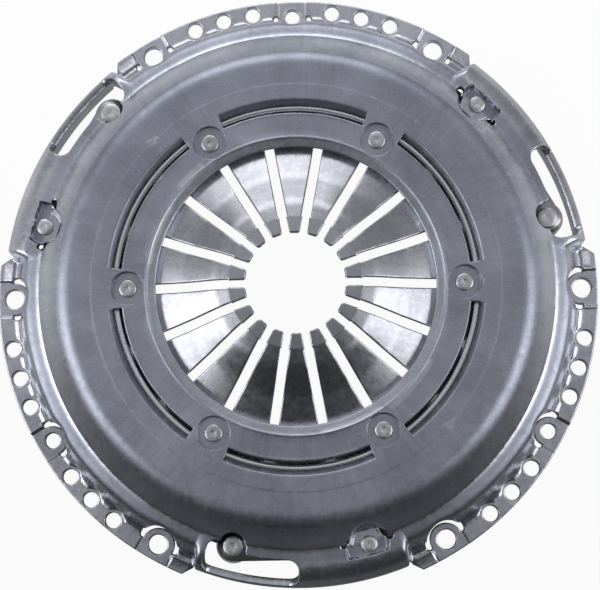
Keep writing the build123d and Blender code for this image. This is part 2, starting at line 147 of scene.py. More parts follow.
def trimmed_sheet(points, faces, field, shape, roll, free=None):
    """Trims a sheet to field > 0 and rolls its free rims. Rows of points: outer xyz, inner xyz, extras."""
    points, faces = refine(points, faces, field, 0.8, 1.2)
    for level in (0.0, 0.1 * roll, 0.35 * roll, roll):
        points, faces = split_at(points, faces, field, level)
    depth = field(points)
    faces = faces[(depth[faces].max(axis=1) > 0.02 * roll) & (depth[faces].min(axis=1) > -0.3)]
    used = np.unique(faces)
    renumber = np.full(len(points), -1)
    renumber[used] = np.arange(len(used))
    points, faces = points[used], renumber[faces]
    depth = (free or field)(points).clip(0, roll)
    points = shape(points)
    thick = points[:, :3] - points[:, 3:6]
    normal = thick / np.linalg.norm(thick, axis=1)[:, None]
    sunk = roll - np.sqrt(np.maximum(roll ** 2 - (roll - depth) ** 2, 0))
    outer = points[:, :3] - normal * sunk[:, None]
    inner = points[:, 3:6] + normal * (0.6 * sunk)[:, None]
    # points that meet along a seam become one
    key = np.round(np.hstack([outer, inner]), 3)
    _, first, same = np.unique(key, axis=0, return_index=True, return_inverse=True)
    same = same.reshape(-1)
    outer, inner, faces = outer[first], inner[first], same[faces]
    faces = faces[(faces[:, 0] != faces[:, 1]) & (faces[:, 1] != faces[:, 2]) & (faces[:, 2] != faces[:, 0])]
    ways = np.stack([faces, np.roll(faces, -1, axis=1)], axis=2).reshape(-1, 2)
    code = ways[:, 0].astype(np.int64) * len(outer) + ways[:, 1]
    back = ways[:, 1].astype(np.int64) * len(outer) + ways[:, 0]
    rim = ways[~np.isin(code, back)]
    count = len(outer)
    walls = np.vstack([np.stack([rim[:, 1], rim[:, 0], rim[:, 0] + count], 1),
                       np.stack([rim[:, 1], rim[:, 0] + count, rim[:, 1] + count], 1)])
    return np.vstack([outer, inner]), np.vstack([faces, faces[:, ::-1] + count, walls])


def mesh_object(name, points, faces):
    """A smooth-shaded mesh object from points in millimetres."""
    mesh = bpy.data.meshes.new(name)
    mesh.from_pydata((np.asarray(points) * 0.001).tolist(), [], [[int(v) for v in face] for face in faces])
    mesh.validate()
    mesh.polygons.foreach_set("use_smooth", [True] * len(mesh.polygons))
    made = bpy.data.objects.new(name, mesh)
    bpy.context.scene.collection.objects.link(made)
    return made


def box_distance(du, dv, corner):
    """Distance outside a rounded box from how far a point is past its two half sizes."""
    u, v = du + corner, dv + corner
    return np.hypot(u.clip(0), v.clip(0)) + np.maximum(u, v).clip(None, 0) - corner


def wrap(angle, middle):
    """Angle from a middle, in degrees, between -180 and 180."""
    return (angle - middle + 180) % 360 - 180


pin_circle, strap_circle, bolt_circle, balance_circle, flange_radius = 76.3, 121.0, 134.0, 136.6, 141.4
pin_angles, slot_middles, flange_middles = range(0, 360, 60), range(30, 360, 60), (90, 210, 330)
slot_circle, slot_half_width, slot_half_angle = 81.5, 2.1, 23.5
sheet_thickness = 4.0
flange_height = 5.0
# the outer face as radius and height: lip, its crest, flat top, dome, then ledge, wall and flange or skirt
dome_corners = [(63.4, 38.2), (67.3, 39.3), (68.0, 39.5), (68.9, 39.5), (92.6, 39.4), (93.6, 39.3),
                (107.0, 39.25), (118.8, 26.4)]
flange_corners = dome_corners + [(126.4, 24.9), (131.5, flange_height), (flange_radius, flange_height)]
skirt_corners = dome_corners + [(135.7, 24.8), (137.4, 1.0)]
dome_bends = [0.4, 0.4, 0.4, 1.0, 1.0, 10.0, 1.7]
dome_steps, dome_turns = [4, 2, 2, 16, 2, 6, 10, 5], [1, 1, 1, 2, 2, 8, 4]
wall_steps, wall_turns, foot_turns, flange_steps = 9, 10, 8, 8
flange_path, flange_normal = bent(
    flange_corners, dome_bends + [6.0, 4.0],
    dome_steps + [wall_steps, flange_steps], dome_turns + [wall_turns, foot_turns])
skirt_path, skirt_normal = bent(
    skirt_corners, dome_bends + [11.0],
    dome_steps + [wall_steps + foot_turns + flange_steps], dome_turns + [wall_turns])
foot_row = len(flange_path) - 1 - foot_turns - flange_steps
skirt_end = 38.2  # degrees from a flange's middle
end_wall = 0.9
cover_angles = np.arange(0, 360, 1.0)
for middle in flange_middles:
    for side in (-1, 1):
        cover_angles = np.append(cover_angles, middle + side * skirt_end + np.arange(-2.4, 4.2, 0.2))
for middle in slot_middles:
    for side in (-slot_half_angle, slot_half_angle):
        cover_angles = np.append(cover_angles, middle + side + np.array([-0.1, -0.03, 0.03, 0.1]))
cover_angles = np.unique(np.round(cover_angles % 360, 3))
cover_angles = np.append(cover_angles[np.append(np.diff(cover_angles) > 0.05, True)], 360.0)


def from_nearest(angle, middles):
    """Degrees from an angle to the nearest of several middles."""
    return np.min([abs(wrap(angle, middle)) for middle in middles], axis=0)


def cover_surface(depth, shift):
    """Rows of the sheet's surface at a depth under its outer face, angle by angle."""
    away = from_nearest(cover_angles, flange_middles)
    share = ((away - shift - skirt_end + end_wall) / (2 * end_wall)).clip(0, 1)
    share = (share * share * (3 - 2 * share))[:, None]
    low = flange_path - depth * flange_normal
    high = skirt_path - depth * skirt_normal
    radius = low[:, 0] * (1 - share) + high[:, 0] * share
    height = low[:, 1] * (1 - share) + high[:, 1] * share
    a = np.radians(cover_angles)[:, None]
    return np.stack([radius * np.cos(a), radius * np.sin(a), height], axis=2)


def grid_faces(columns, rows):
    """Two triangles for each cell of a grid of points."""
    corner = (np.arange(columns - 1)[:, None] * rows + np.arange(rows - 1)[None]).ravel()
    return np.vstack([np.stack([corner, corner + 1, corner + rows + 1], 1),
                      np.stack([corner, corner + rows + 1, corner + rows], 1)])


outer_rows = cover_surface(0, 0)
inner_rows = cover_surface(sheet_thickness, 1.5)
run = np.concatenate([np.zeros((len(cover_angles), 1)),
                      np.linalg.norm(np.diff(outer_rows, axis=1), axis=2).cumsum(axis=1)], axis=1)
columns, rows = run.shape
extras = np.stack([np.repeat(cover_angles[:, None], rows, 1), run, run[:, -1:] - run,
                   run[:, foot_row:foot_row + 1] - run], axis=2)
grid = np.concatenate([outer_rows, inner_rows, extras], axis=2).reshape(-1, 10)
cover_faces = grid_faces(columns, rows)

# each bolting tongue's angle, half width and hole radius: a dowel's between two bolts'
bolt_pad, dowel_pad = (7.7, 4.5), (6.9, 3.55)
pads = [(middle + offset, *(bolt_pad if offset else dowel_pad))
        for middle in flange_middles for offset in (-30, 0, 30)]
balance_holes = [middle + side * offset
                 for middle in flange_middles for side in (-1, 1) for offset in (8, 14, 20)]
plate_rivet_angles = [15.1 + 120 * k for k in range(3)]
cover_rivet_angles = [44.8 + 120 * k for k in range(3)]


def local(points, angle, radius):
    """Coordinates outwards and anticlockwise from a place on a circle."""
    a = math.radians(angle)
    x, y = points[:, 0], points[:, 1]
    return x * math.cos(a) + y * math.sin(a) - radius, y * math.cos(a) - x * math.sin(a)


tongue_gap, gap_swell, gap_end, gap_corner = 1.1, 1.3, 0.4, 1.5


def pad_cut(points, angle, radius, seams):
    """Distance outside what a bolting tongue takes out of the wall: an arch and, with seams, itself."""
    x, t = local(points, angle, bolt_circle)
    reach = np.hypot(x, t)
    round_end = reach - radius - tongue_gap - gap_swell * (t / reach.clip(1)) ** 2
    arch = box_distance(round_end, x - gap_end, gap_corner)
    return np.minimum(arch, np.maximum(abs(t) - radius, -x)) if seams else arch


def flange_edge(points, angle):
    """Distance inside the flange's chamfered ends."""
    away = from_nearest(angle, flange_middles)
    radius = np.hypot(points[:, 0], points[:, 1])
    ends = np.radians(skirt_end - away) * radius
    chamfer_angle, deep, wide = 36.6, 4.6, 4.0
    along, outwards = np.radians(chamfer_angle - away) * radius, flange_radius - radius
    return np.minimum(ends, (along * deep + outwards * wide) / math.hypot(deep, wide))


def teardrop(x, t, tip, head):
    """Distance outside a drop-shaped hole, from its tip's and its head's place and radius."""
    (ax, at, small), (bx, bt, large) = tip, head
    along = (((x - ax) * (bx - ax) + (t - at) * (bt - at)) / ((bx - ax) ** 2 + (bt - at) ** 2)).clip(0, 1)
    return np.hypot(x - ax - along * (bx - ax), t - at - along * (bt - at)) - small - along * (large - small)


pad_out, pad_ahead, pad_behind, pad_level, hollow_radius = 4.6, -11.2, 7.9, 21.0, 7.5
pad_openings = (((-5.6, 5.0, 0.3), (-1.6, 9.8, 1.7)), ((-3.9, -8.4, 0.2), (-2.3, -11.5, 1.2)))
balance_radius, rivet_notch_radius, slot_corner = 3.6, 6.2, 0.2
arch_height, arch_corner, wall_slant = 9.5, 2.0, 1.03
skirt_top_radius, skirt_overlap = 135.9, 0.4
wall_middle_height, strap_pad_reach = 12, 40
# each skirt's window is a long slot and a wider notch: circle, half width, middle and half angle
windows, window_corner = ((129.85, 6.05, 19.6, 9.8), (127.9, 8.0, 14.1, 4.3)), 4.8
no_edge = 9


def cover_field(p, seams=True):
    """How far inside the cover's material a point is, along its surface, in millimetres."""
    angle, from_lip, to_end, to_foot = p[:, 6], p[:, 7], p[:, 8], p[:, 9]
    radius, height = np.hypot(p[:, 0], p[:, 1]), p[:, 2]
    inside = np.minimum(from_lip, to_end)
    for middle in slot_middles:
        turn = np.radians(abs(wrap(angle, middle)) - slot_half_angle) * radius
        slot = box_distance(abs(radius - slot_circle) - slot_half_width, turn, slot_corner)
        inside = np.minimum(inside, slot)
    for hole in balance_holes:
        x, t = local(p, hole, balance_circle)
        hole_edge = np.hypot(x, t) - balance_radius
        inside = np.minimum(inside, np.where(height < wall_middle_height, hole_edge, no_edge))
    for pad_angle, pad_radius, _ in pads:
        gap = pad_cut(p, pad_angle, pad_radius, seams)
        inside = np.minimum(inside, box_distance(gap, (height - arch_height) * wall_slant, arch_corner))
    away = from_nearest(angle, flange_middles)
    overlap = np.minimum(np.radians(away - skirt_end + skirt_overlap) * radius, skirt_top_radius - radius)
    skirt = np.maximum(np.radians(away - skirt_end - end_wall) * radius, overlap)
    inside = np.minimum(inside, np.maximum(np.maximum(to_foot, flange_edge(p, angle)), skirt))
    for k in range(3):
        turn = wrap(angle, 120 * k)
        for circle, half_width, middle, half_angle in windows:
            along = np.radians(abs(turn - middle) - half_angle) * radius
            window = box_distance(abs(radius - circle) - half_width, along, window_corner)
            inside = np.minimum(inside, window)
        x, t = local(p, plate_rivet_angles[k], strap_circle)
        rivet = np.hypot(x, t) - rivet_notch_radius
        x, t = local(p, cover_rivet_angles[k], strap_circle)
        openings = np.minimum(*[teardrop(x, t, tip, head) for tip, head in pad_openings])
        near_pad = np.where(abs(x) + abs(t) < strap_pad_reach, openings, no_edge)
        inside = np.minimum.reduce([inside, rivet, near_pad])
    return inside


def smooth(x):
    """A soft step from 0 to 1."""
    x = x.clip(0, 1)
    return x * x * (3 - 2 * x)


pocket_radius, pocket_depth, pocket_side = 7.75, 2.0, 0.45
scallop_radius, scallop_side, scallop_top = 5.9, 0.6, 9.0
step_width, burr_height, head_room = 1.3, 0.3, 1.5
crest_radius, crest_height, crest_half_width = 68.0, 0.24, 0.75
slot_roll_start = 85.9
rib_circle, rib_angle, rib_height = 135.2, 35.5, 0.55
inner_wall_radius = 123.8


def pressed(p):
    """Presses the pockets, strap pads, rolled slots, tongues' steps and bolt head hollows into the sheet."""
    p = p.copy()
    radius, height = np.hypot(p[:, 0], p[:, 1]), p[:, 2].copy()
    on_flange = height < flange_height + 0.01
    drop = np.zeros(len(p))
    for angle in pin_angles:
        x, t = local(p, angle, pin_circle)
        drop += pocket_depth * smooth((pocket_radius - np.hypot(x, t)) / pocket_side)
    for angle in cover_rivet_angles:
        x, t = local(p, angle, strap_circle)
        past = np.maximum.reduce([pad_ahead - t, t - pad_behind, x - pad_out, -2.0 - x])
        hollow = np.maximum((np.hypot(x, t) - hollow_radius) / 4.9, (x - pad_out) / 0.7)
        bottom = pad_level + np.minimum(30 * smooth(past / 0.9 + 0.5), 26 * smooth(hollow))
        drop += (height - bottom).clip(0)
    for hole in balance_holes:
        x, t = local(p, hole, balance_circle)
        edge = smooth((scallop_radius - np.hypot(x, t)) / scallop_side)
        drop = np.where((height > flange_height) & (height < scallop_top),
                        np.maximum(drop, edge * (height - flange_height)), drop)
    # faint hollows between the pins, left by the blank holder
    away = from_nearest(p[:, 6], slot_middles)
    drop += 0.18 * ((21 - away) / 2.5).clip(0, 1) * ((5.2 - abs(radius - 74.0)) / 1.4).clip(0, 1)
    # the outer edge of each arc slot is rolled well down
    steep = (slot_roll_start - radius).clip(0, 2.5) * (radius > 83.0) * (height > 30)
    rolled = (1.2 * steep - 0.25 * (1 - np.exp(-steep / 0.2))) * (away < slot_half_angle)
    # steps down to the tongues, and hollows for the bolt heads in the wall
    inwards = np.zeros(len(p))
    for pad_angle, pad_radius, _ in pads:
        x, t = local(p, pad_angle, bolt_circle)
        step = smooth((pad_radius + step_width - abs(t)) / step_width) * smooth((x + 5) / 4)
        burr = burr_height * smooth(1 - abs(abs(t) - pad_radius - 1.6) / 0.7) * smooth((x + 3) / 2)
        drop = np.where(on_flange, np.maximum(drop, step) - burr, drop)
        round_wall = -np.sqrt(((pad_radius + head_room) ** 2 - t ** 2).clip(0))
        soft = 1.2 + 1.5 * smooth((height - 16) / 9)
        past = x - round_wall
        eased = np.where(past > -soft, (past + soft) ** 2 / (4 * soft), 0)
        past = eased * (past < soft) + past.clip(0) * (past >= soft)
        inwards += np.where((height > 5.5) & (abs(t) < pad_radius + head_room) & (x < 0), past, 0)
    # a low rib stiffens the flange outside its last bolt hole
    end = abs(from_nearest(p[:, 6], flange_middles) - rib_angle)
    rib = rib_height * smooth((1.5 - abs(radius - rib_circle)) / 1.5) * smooth((2.6 - end) / 1.0)
    fall = 0.5 * smooth((radius - 136) / 4) * smooth((3.4 - end) / 1.2)
    drop = np.where(on_flange & (radius > 133), drop - rib + fall, drop)
    crest = crest_height * smooth(1.1 - abs(radius - crest_radius) / crest_half_width)
    p[:, 2] -= drop + rolled - crest
    p[:, 5] = (p[:, 5] - drop.clip(None, sheet_thickness)).clip(0)
    out = p[:, :2] / radius[:, None]
    inner_radius = np.hypot(p[:, 3], p[:, 4])
    inner_move = np.minimum(inwards, (inner_radius - inner_wall_radius).clip(0))
    p[:, :2] -= out * inwards[:, None]
    p[:, 3:5] -= out * inner_move[:, None]
    # the inner face never reaches past the outer one at the skirts' ends
    too_far = (np.hypot(p[:, 3], p[:, 4]) - np.hypot(p[:, 0], p[:, 1])).clip(0)
    p[:, 3:5] -= out * np.where(radius > 120, too_far, 0)[:, None]
    return p


def ring_split(points, faces, angle, place, radii):
    """Divides the faces along circles round a place."""
    for r in radii:
        points, faces = split_at(points, faces, lambda q: np.hypot(*local(q, angle, place)), r)
    return points, faces


for pin_angle in pin_angles:
    grid, cover_faces = refine(grid, cover_faces,
                               lambda q: np.hypot(*local(q, pin_angle, pin_circle)) - 7.5, 1.0, 1.0)
    grid, cover_faces = ring_split(grid, cover_faces, pin_angle, pin_circle, (7.1, 7.3, 7.5, 7.7, 7.9))
for pad_angle, pad_radius, _ in pads:
    for offset in (0.65, 1.3, 1.6, 2.3):
        for side in (-1, 1):
            grid, cover_faces = split_at(grid, cover_faces, lambda q: np.where(
                np.hypot(*local(q, pad_angle, bolt_circle)) < 14,
                side * local(q, pad_angle, bolt_circle)[1], 99.0), pad_radius + offset)
for level in (83.9, 84.4, 85.0, 85.5, 85.8):
    grid, cover_faces = split_at(grid, cover_faces, lambda q: np.hypot(q[:, 0], q[:, 1]), level)
for rivet_angle in cover_rivet_angles:
    grid, cover_faces = refine(grid, cover_faces,
                               lambda q: np.hypot(*local(q, rivet_angle, strap_circle)) - 9.5, 0.9, 2.5)
    for axis, rims in ((0, (pad_out,)), (1, (pad_ahead, pad_behind))):
        for offset in [rim + side for rim in rims for side in (-0.35, 0, 0.35)]:
            grid, cover_faces = split_at(grid, cover_faces, lambda q: np.where(
                np.hypot(*local(q, rivet_angle, strap_circle + 1)) < 16,
                local(q, rivet_angle, strap_circle)[axis], 99.0), offset)
cover_points, cover_faces = trimmed_sheet(grid, cover_faces, cover_field, pressed, 0.6,
                                          lambda p: cover_field(p, seams=False))

# the nine bolting tongues: flat, 1 mm lower than the flange, with round inner ends
tongue_drop = 1.0
tongue_points, tongue_faces = [cover_points], [cover_faces]
for pad_angle, pad_radius, hole_radius in pads:
    xs, ts = np.meshgrid(np.arange(-8.5, 9.6, 1.0), np.arange(-8.5, 8.6, 1.0), indexing="ij")
    a = math.radians(pad_angle)
    out, along = xs.ravel() + bolt_circle, ts.ravel()
    flat = np.zeros((len(out), 7))
    flat[:, 0], flat[:, 1] = out * math.cos(a) - along * math.sin(a), out * math.sin(a) + along * math.cos(a)
    flat[:, 2] = flange_height - tongue_drop
    flat[:, 3:5] = flat[:, :2]
    flat[:, 6] = np.degrees(np.arctan2(flat[:, 1], flat[:, 0])) % 360
    wide, tall = xs.shape
    corner = (np.arange(wide - 1)[:, None] * tall + np.arange(tall - 1)[None]).ravel()
    squares = np.vstack([np.stack([corner, corner + tall, corner + tall + 1], 1),
                         np.stack([corner, corner + tall + 1, corner + 1], 1)])

    def tongue_field(p, seams=True):
        """How far inside the tongue's material a point is; without seams, how far from its free edges."""
        x, t = local(p, pad_angle, bolt_circle)
        side = pad_radius - np.where(x < 0, np.hypot(x, t), abs(t))
        side = side if seams else np.where(x < 0.8, side, no_edge)
        ends = np.minimum(flange_radius - np.hypot(p[:, 0], p[:, 1]), flange_edge(p, p[:, 6]))
        return np.minimum.reduce([side, np.hypot(x, t) - hole_radius, ends])

    made, sides = trimmed_sheet(flat, squares, tongue_field, lambda p: p, 0.5,
                                lambda p: tongue_field(p, seams=False))
    tongue_faces.append(sides + sum(len(q) for q in tongue_points))
    tongue_points.append(made)
cover = mesh_object("cover_pressing", np.vstack(tongue_points), np.vstack(tongue_faces))


def maths(tree, operation, *values):
    """The result of a maths node fed with sockets or plain numbers."""
    step = tree.nodes.new("ShaderNodeMath")
    step.operation = operation
    for socket, value in zip(step.inputs, values):
        if isinstance(value, (int, float)):
            socket.default_value = value
        else:
            tree.links.new(value, socket)
    return step.outputs["Value"]


def stretch(tree, value, low, high, to_low, to_high, kind="LINEAR"):
    """A value whose run from low to high is stretched to another run."""
    fit = tree.nodes.new("ShaderNodeMapRange")
    fit.interpolation_type = kind
    for label, number in (("From Min", low), ("From Max", high), ("To Min", to_low), ("To Max", to_high)):
        fit.inputs[label].default_value = number
    tree.links.new(value, fit.inputs["Value"])
    return fit.outputs["Result"]


def noise(tree, source, scale, detail, roughness):
    """Soft random blotches; a larger scale makes smaller ones."""
    blotches = tree.nodes.new("ShaderNodeTexNoise")
    blotches.inputs["Scale"].default_value = scale
    blotches.inputs["Detail"].default_value = detail
    blotches.inputs["Roughness"].default_value = roughness
    tree.links.new(source, blotches.inputs["Vector"])
    return blotches.outputs["Fac"]


def colour_mix(tree, factor, first, second, kind="MIX"):
    """A colour socket mixed with or multiplied by a plain colour."""
    blend = tree.nodes.new("ShaderNodeMix")
    blend.data_type = "RGBA"
    blend.blend_type = kind
    blend.inputs["B"].default_value = (*second, 1)
    tree.links.new(factor, blend.inputs["Factor"])
    tree.links.new(first, blend.inputs["A"])
    return blend.outputs["Result"]


def dull_coat(tree, from_axis):
    """How much of the cover's dull film is left at a distance from the axis: on the top and the ledge."""
    ramp = tree.nodes.new("ShaderNodeValToRGB")
    outside = 0.142
    stops = ramp.color_ramp.elements
    for at, share in ((0.0645, 0.3), (0.068, 1), (0.108, 1), (0.1145, 0),
                      (0.1195, 0), (0.1205, 1), (0.124, 1), (0.127, 0)):
        stops.new(at / outside).color = (share, share, share, 1)
    stops.remove(stops[-1])
    stops.remove(stops[0])
    tree.links.new(maths(tree, "DIVIDE", from_axis, outside), ramp.inputs["Fac"])
    return ramp.outputs["Color"]


def steel(name, dark, light, rough, grain, dent, streak=0.0, worn=0.3, wavy=0.0, galled=None):
    """A worn steel or iron finish: mottled colour and sheen, fine speckle, drawn marks, rubbed bright edges.
    With galled, the radius and half width of a scuffed band, the face also keeps a dull film in places."""
    made = bpy.data.materials.new(name)
    made.use_nodes = True
    tree = made.node_tree
    shader = tree.nodes["Principled BSDF"]
    shader.inputs["Metallic"].default_value = 1.0
    place = tree.nodes.new("ShaderNodeTexCoord").outputs["Object"]
    split = tree.nodes.new("ShaderNodeSeparateXYZ")
    tree.links.new(place, split.inputs["Vector"])
    x, y, z = (split.outputs[axis] for axis in "XYZ")
    from_axis = maths(tree, "POWER", maths(tree, "ADD", maths(tree, "MULTIPLY", x, x),
                                           maths(tree, "MULTIPLY", y, y)), 0.5)
    turned = tree.nodes.new("ShaderNodeCombineXYZ")
    tree.links.new(maths(tree, "ARCTAN2", y, x), turned.inputs["X"])
    tree.links.new(maths(tree, "SUBTRACT", from_axis, z), turned.inputs["Y"])
    cloud = noise(tree, place, grain, 8, 0.62)
    fine = noise(tree, place, grain * 14, 6, 0.5)
    speckle = noise(tree, place, 1500, 2, 0.5)
    marks = noise(tree, turned.outputs["Vector"], 55, 5, 0.5)
    uneven = maths(tree, "MULTIPLY", noise(tree, place, 130, 2, 0.4), wavy)
    edges = tree.nodes.new("ShaderNodeNewGeometry")
    rubbed = stretch(tree, edges.outputs["Pointiness"], 0.53, 0.62, 0.0, worn)
    sheen = stretch(tree, fine, 0, 1, rough - 0.10, rough + 0.14)
    if galled:
        middle, half = galled
        offset = maths(tree, "DIVIDE", maths(tree, "SUBTRACT", from_axis, middle), half)
        off_band = maths(tree, "ABSOLUTE", offset)
        band = maths(tree, "MAXIMUM", maths(tree, "SUBTRACT", 1.0, off_band), 0.0)
        scuffs = maths(tree, "MULTIPLY_ADD", noise(tree, place, 700, 3, 0.7), 2.2, band)
        rubbed = maths(tree, "MAXIMUM", rubbed, stretch(tree, scuffs, 1.85, 2.6, 0.0, 0.6))
        dull = dull_coat(tree, from_axis)
        sheen = maths(tree, "MULTIPLY_ADD", dull, 0.14, sheen)
        uneven = maths(tree, "MULTIPLY", uneven, maths(tree, "SUBTRACT", 1.0, dull))
    tone = maths(tree, "MULTIPLY_ADD", speckle, 0.30,
                 maths(tree, "MULTIPLY_ADD", cloud, 0.65, maths(tree, "MULTIPLY", marks, 0.15)))
    ramp = tree.nodes.new("ShaderNodeValToRGB")
    for stop, at, colour in zip(ramp.color_ramp.elements, (0.40, 0.70), (dark, light)):
        stop.position = at
        stop.color = (*colour, 1)
    tree.links.new(tone, ramp.inputs["Fac"])
    colour = colour_mix(tree, rubbed, ramp.outputs["Color"], (0.86, 0.865, 0.89))
    if galled:
        colour = colour_mix(tree, dull, colour, (0.66, 0.67, 0.715), "MULTIPLY")
    tree.links.new(colour, shader.inputs["Base Color"])
    tree.links.new(sheen, shader.inputs["Roughness"])
    bump = tree.nodes.new("ShaderNodeBump")
    bump.inputs["Strength"].default_value = dent
    bump.inputs["Distance"].default_value = 0.0004
    height = maths(tree, "ADD", uneven, maths(tree, "MULTIPLY_ADD", marks, streak, fine))
    tree.links.new(height, bump.inputs["Height"])
    tree.links.new(bump.outputs["Normal"], shader.inputs["Normal"])
    return made


cover.data.materials.append(steel("cover_steel", (0.34, 0.35, 0.405), (0.60, 0.615, 0.68), 0.27, 26, 0.10,
                                  streak=0.3, worn=0.5, wavy=5.0, galled=(0.1095, 0.0022)))
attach(cover, "cover")
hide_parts("clutch_cover")

# ---------------------------------------------------------------- diaphragm spring
# A dished disc of 2.6 mm spring steel, slotted into 18 fingers that end in flattened tips.
# Each slot opens into a round hole near the fulcrum, and every edge is rounded by shot peening.
spring_edge, tip_edge, spring_thickness = 106.0, 22.7, 2.6
finger_half_slot, keyhole_circle, keyhole_radius, pin_hole_radius = 2.15, 72.0, 3.6, 5.2
spring_path, spring_normal = bent(
    [(tip_edge, 49.0), (29.8, 48.4), (37.5, 46.3), (50.5, 38.7), (61.5, 35.1), (spring_edge, 25.65)],
    [5.0, 18.0, 22.0, 18.0], [8, 4, 8, 6, 22], [3, 5, 5, 4])
spring_angles = np.arange(0, 360.1, 2.0)
a = np.radians(spring_angles)[:, None]
spring_rows = []
for depth in (0.0, spring_thickness):
    path = spring_path - depth * spring_normal
    spring_rows.append(np.stack([path[None, :, 0] * np.cos(a), path[None, :, 0] * np.sin(a),
                                 path[None, :, 1] + 0 * a], axis=2))
columns, rows = spring_rows[0].shape[:2]
spring_rows.append(np.repeat(spring_angles[:, None, None], rows, 1))
spring_grid = np.concatenate(spring_rows, axis=2).reshape(-1, 7)
spring_faces = grid_faces(columns, rows)


def spring_field(p):
    """How far inside the spring's material a point is."""
    radius, angle = np.hypot(p[:, 0], p[:, 1]), p[:, 6]
    off = (angle + 10) % 20 - 10
    across = abs(np.sin(np.radians(off))) * radius
    out = np.cos(np.radians(off)) * radius
    slot = box_distance(across - finger_half_slot, abs(out - 50.9) - 21.1, 0.8)
    tip = box_distance(across - 1.7, out - 31.0, 0.0)
    keyhole = np.hypot(across, out - keyhole_circle) - keyhole_radius
    inside = np.minimum.reduce([slot, tip, keyhole, spring_edge - radius])
    # the finger tips have rounded corners
    inside = np.minimum(inside, -box_distance(1.7 - across, tip_edge - radius, 1.2))
    for pin_angle in pin_angles:
        inside = np.minimum(inside, np.hypot(*local(p, pin_angle, pin_circle)) - pin_hole_radius)
    return inside


spring_points, spring_faces = trimmed_sheet(spring_grid, spring_faces, spring_field, lambda p: p, 0.5)
spring = mesh_object("spring_disc", spring_points, spring_faces)
spring.data.materials.append(steel("spring_steel", (0.34, 0.35, 0.385), (0.47, 0.48, 0.53), 0.27, 30, 0.06,
                                   streak=0.2, wavy=0.3))
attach(spring, "cover")
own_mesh(spring)
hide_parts("diaphragm_spring")

# ---------------------------------------------------------------- fulcrum rings
# Two rings of bright drawn wire, 4.8 mm thick, that the spring rocks on, held by the six pins.
# One lies above the spring and shows in the arc slots, the other lies below it on the pins' flanges.
for node, height in (("upper_fulcrum_ring", 33.1), ("lower_fulcrum_ring", 25.53)):
    bpy.ops.mesh.primitive_torus_add(major_segments=240, minor_segments=24, major_radius=0.0825,
                                     minor_radius=0.0024, location=(0, 0, height * 0.001))
    ring = bpy.context.object
    ring.name = node + "_wire"
    bpy.ops.object.transform_apply()
    bpy.ops.object.shade_smooth()
    ring.data.materials.append(steel(node, (0.66, 0.665, 0.69), (0.80, 0.805, 0.83), 0.24, 60, 0.01))
    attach(ring, "cover")
    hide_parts(node)

# ---------------------------------------------------------------- fulcrum pins
# Six stepped steel pins, turned, with a flange each under the lower ring.
# Their upper ends are upset over the cover inside its pockets, which leaves a small dimple.


def lathe(profile, centres, steps):
    """Points and faces of a profile (radius, height) turned about each centre."""
    profile = np.array(profile, float)
    a = np.radians(np.arange(steps) * 360 / steps)
    ring = np.stack([profile[:, None, 0] * np.cos(a), profile[:, None, 0] * np.sin(a),
                     profile[:, None, 1] + 0 * a], axis=2).reshape(-1, 3)
    faces = []
    for i in range(len(profile) - 1):
        for k in range(steps):
            n = (k + 1) % steps
            faces.append((i * steps + k, i * steps + n, (i + 1) * steps + n, (i + 1) * steps + k))
    points, all_faces = [], []
    for x, y in centres:
        all_faces += [tuple(v + len(points) * len(ring) for v in f) for f in faces]
        points.append(ring + np.array([x, y, 0]))
    return np.vstack(points), all_faces


pin_profile = [(0.01, 20.75), (7.4, 20.75), (8.0, 20.9), (8.2, 21.4), (8.2, 22.6), (8.0, 23.0), (7.4, 23.12),
               (3.7, 23.12), (3.7, 35.5), (2.9, 35.5), (2.9, 37.5), (3.8, 37.5), (4.0, 37.62), (4.05, 37.9),
               (4.0, 38.2), (3.75, 38.42), (3.2, 38.55), (1.6, 38.62), (1.2, 38.55), (0.7, 38.42),
               (0.01, 38.38)]
pin_places = [(pin_circle * math.cos(math.radians(angle)), pin_circle * math.sin(math.radians(angle)))
              for angle in pin_angles]
pins = mesh_object("pin_turnings", *lathe(pin_profile, pin_places, 40))
pins.data.materials.append(steel("pin_steel", (0.38, 0.385, 0.415), (0.58, 0.59, 0.63), 0.34, 90, 0.30))
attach(pins, "cover")
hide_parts("fulcrum_pins")

# ---------------------------------------------------------------- strap rivets
# Solid steel rivets, cold headed, that hold the straps' ends.
# They have low round heads on the cover's pads and taller ones through the plate's lugs.
cover_rivet_profile = [(0.01, 13.1), (3.3, 13.1), (3.7, 13.4), (3.9, 14.1), (3.9, 14.85), (3.0, 14.9),
                       (3.0, 21.0), (3.8, 21.02), (3.9, 21.2), (3.9, 22.2), (3.75, 22.6), (3.4, 22.82),
                       (1.6, 22.98), (1.2, 22.92), (0.01, 22.85)]
plate_rivet_profile = [(0.01, 3.2), (3.9, 3.2), (4.3, 3.6), (4.5, 4.4), (4.5, 5.0), (3.0, 5.0), (3.0, 16.4),
                       (4.75, 16.42), (4.9, 16.7), (4.9, 19.3), (4.75, 19.7), (4.4, 19.9), (1.9, 20.0),
                       (1.4, 19.9), (0.01, 19.82)]
for number in range(3):
    for kind, angles, profile in (("cover", cover_rivet_angles, cover_rivet_profile),
                                  ("plate", plate_rivet_angles, plate_rivet_profile)):
        turn = math.radians(angles[number])
        centre = (strap_circle * math.cos(turn), strap_circle * math.sin(turn))
        node = f"strap_{number + 1}_{kind}_rivet"
        rivet = mesh_object(node + "_turning", *lathe(profile, [centre], 40))
        rivet.data.materials.append(steel(node, (0.46, 0.465, 0.50), (0.68, 0.685, 0.71), 0.34, 120, 0.35))
        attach(rivet, kind)
        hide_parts(node)

